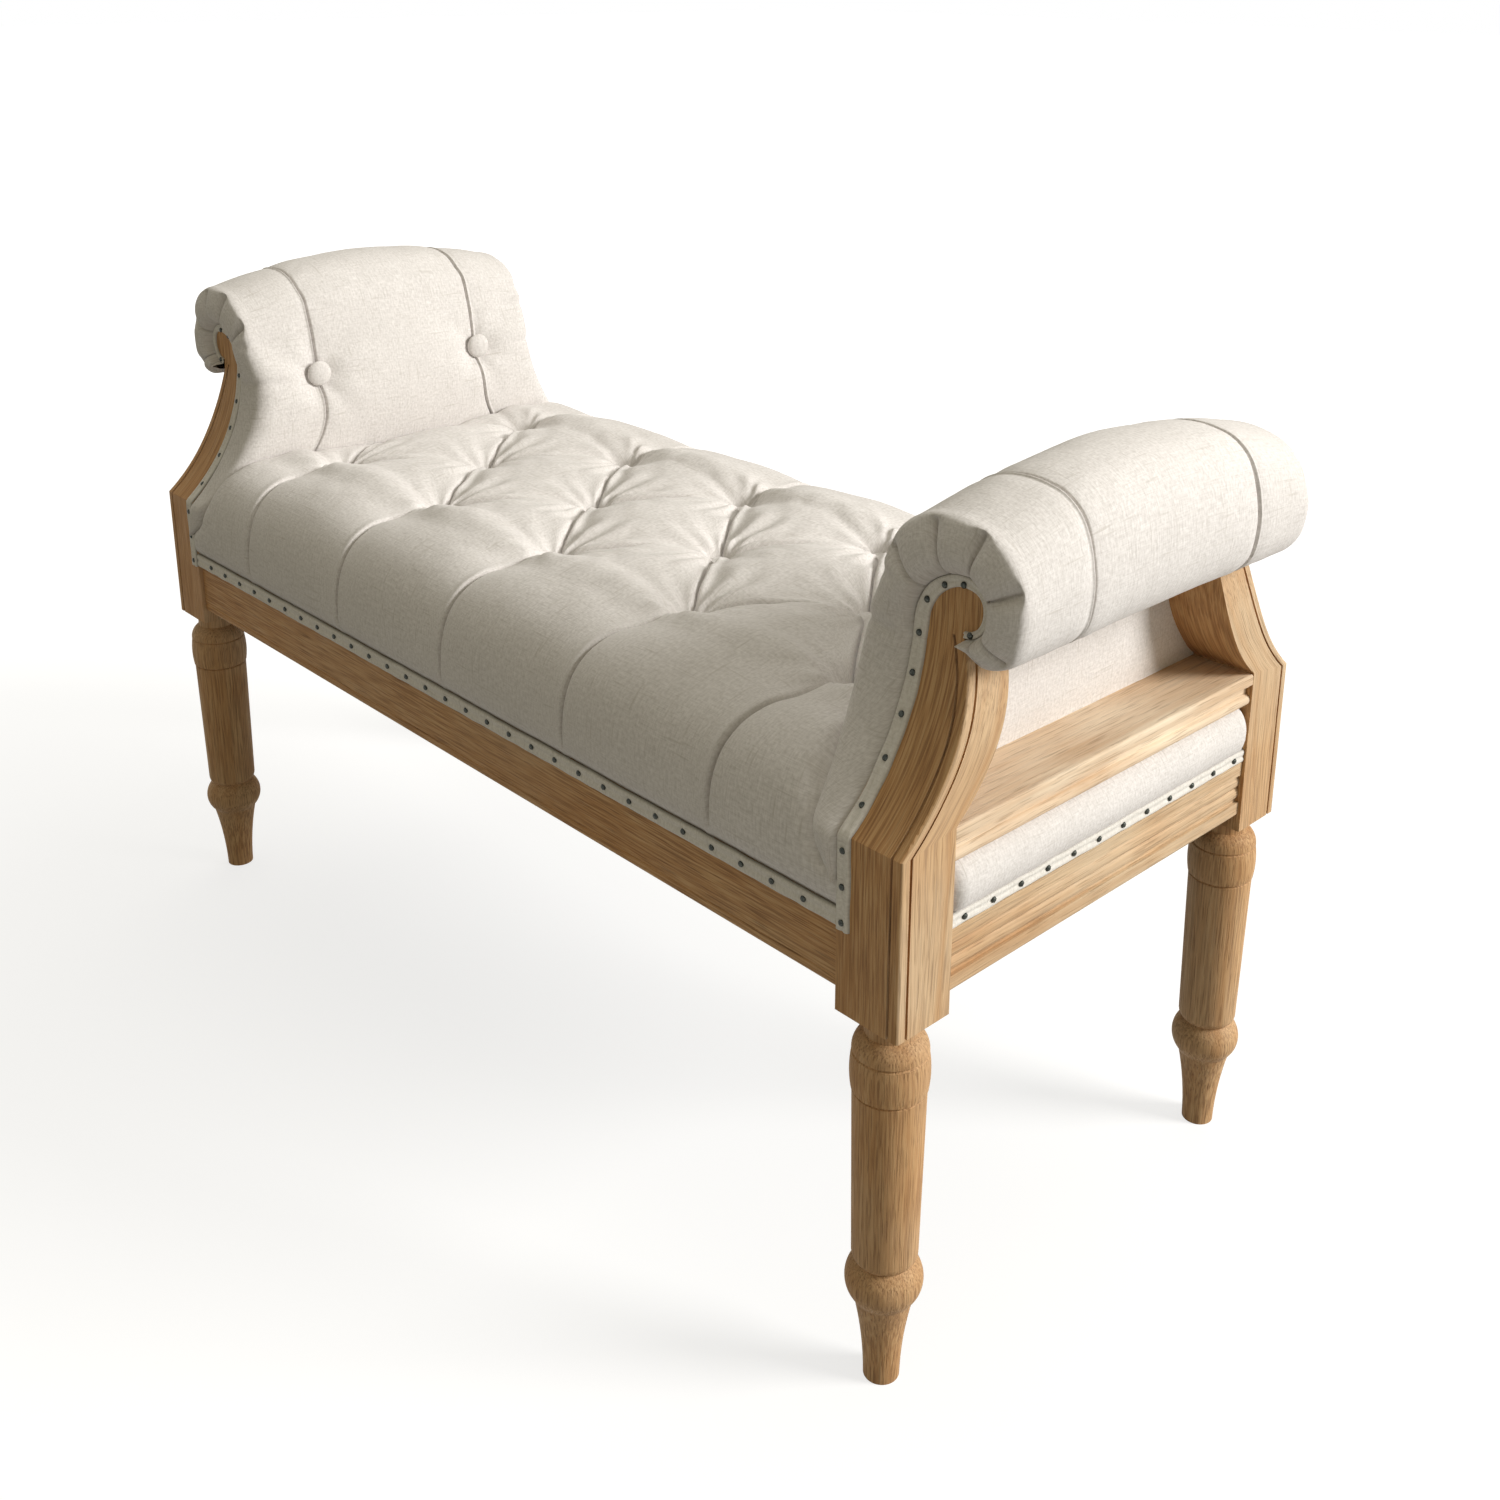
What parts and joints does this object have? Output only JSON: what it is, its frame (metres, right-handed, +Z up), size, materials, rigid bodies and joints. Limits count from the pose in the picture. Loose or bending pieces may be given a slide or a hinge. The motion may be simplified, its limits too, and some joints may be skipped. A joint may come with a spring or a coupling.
{
  "type": "upholstered bench",
  "caption": "Backless upholstered bench with a deep-buttoned linen seat, rolled padded arms and turned oak legs.",
  "frame": {"origin": "on the floor, under the middle of the bench", "axes": "+X along the bench, -Y to the front, +Z up"},
  "size_m": [1.2428, 0.518, 0.735],
  "materials": {
    "weathered_oak": "light weathered oak, open grain, matt",
    "frame_softwood": "planed softwood, unfinished",
    "plywood": "birch plywood, unfinished",
    "dark_nail": "dark oxidised nail heads",
    "zinc_steel": "zinc-plated steel",
    "foam": "open-cell upholstery foam",
    "waxed_twine": "waxed upholstery twine",
    "dust_cloth": "black non-woven cloth",
    "linen_tape": "flat linen tape",
    "linen": "ivory-beige plain-weave linen"
  },
  "bodies": {
    "root": {"arm_board_left": "plywood", "arm_board_right": "plywood", "arm_buttons_left": "linen", "arm_buttons_right": "linen", "arm_nails": "dark_nail", "arm_pad_left": "linen", "arm_pad_right": "linen", "arm_scroll_rail_left": "weathered_oak", "arm_scroll_rail_right": "weathered_oak", "arm_top_rail_left": "frame_softwood", "arm_top_rail_right": "frame_softwood", "arm_trim_front_left": "linen_tape", "arm_trim_front_right": "linen_tape", "arm_trim_rear_left": "linen_tape", "arm_trim_rear_right": "linen_tape", "block_screws": "zinc_steel", "corner_block_front_left": "frame_softwood", "corner_block_front_right": "frame_softwood", "corner_block_rear_left": "frame_softwood", "corner_block_rear_right": "frame_softwood", "dust_cover": "dust_cloth", "end_band_left": "linen", "end_band_right": "linen", "end_rail_left": "weathered_oak", "end_rail_right": "weathered_oak", "end_trim_left": "linen_tape", "end_trim_right": "linen_tape", "front_rail": "weathered_oak", "front_trim": "linen_tape", "ledge_left": "weathered_oak", "ledge_right": "weathered_oak", "leg_bolts": "zinc_steel", "leg_front_left": "weathered_oak", "leg_front_right": "weathered_oak", "leg_inserts": "zinc_steel", "leg_rear_left": "weathered_oak", "leg_rear_right": "weathered_oak", "outside_panel_left": "linen", "outside_panel_right": "linen", "post_front_left": "weathered_oak", "post_front_right": "weathered_oak", "post_rear_left": "weathered_oak", "post_rear_right": "weathered_oak", "rail_nails": "dark_nail", "rear_rail": "weathered_oak", "rear_trim": "linen_tape", "seat_buttons": "linen", "seat_cushion": "linen", "seat_deck": "plywood", "seat_foam": "foam", "seat_twines": "waxed_twine", "twine_washers": "zinc_steel"}
  },
  "joints": []
}
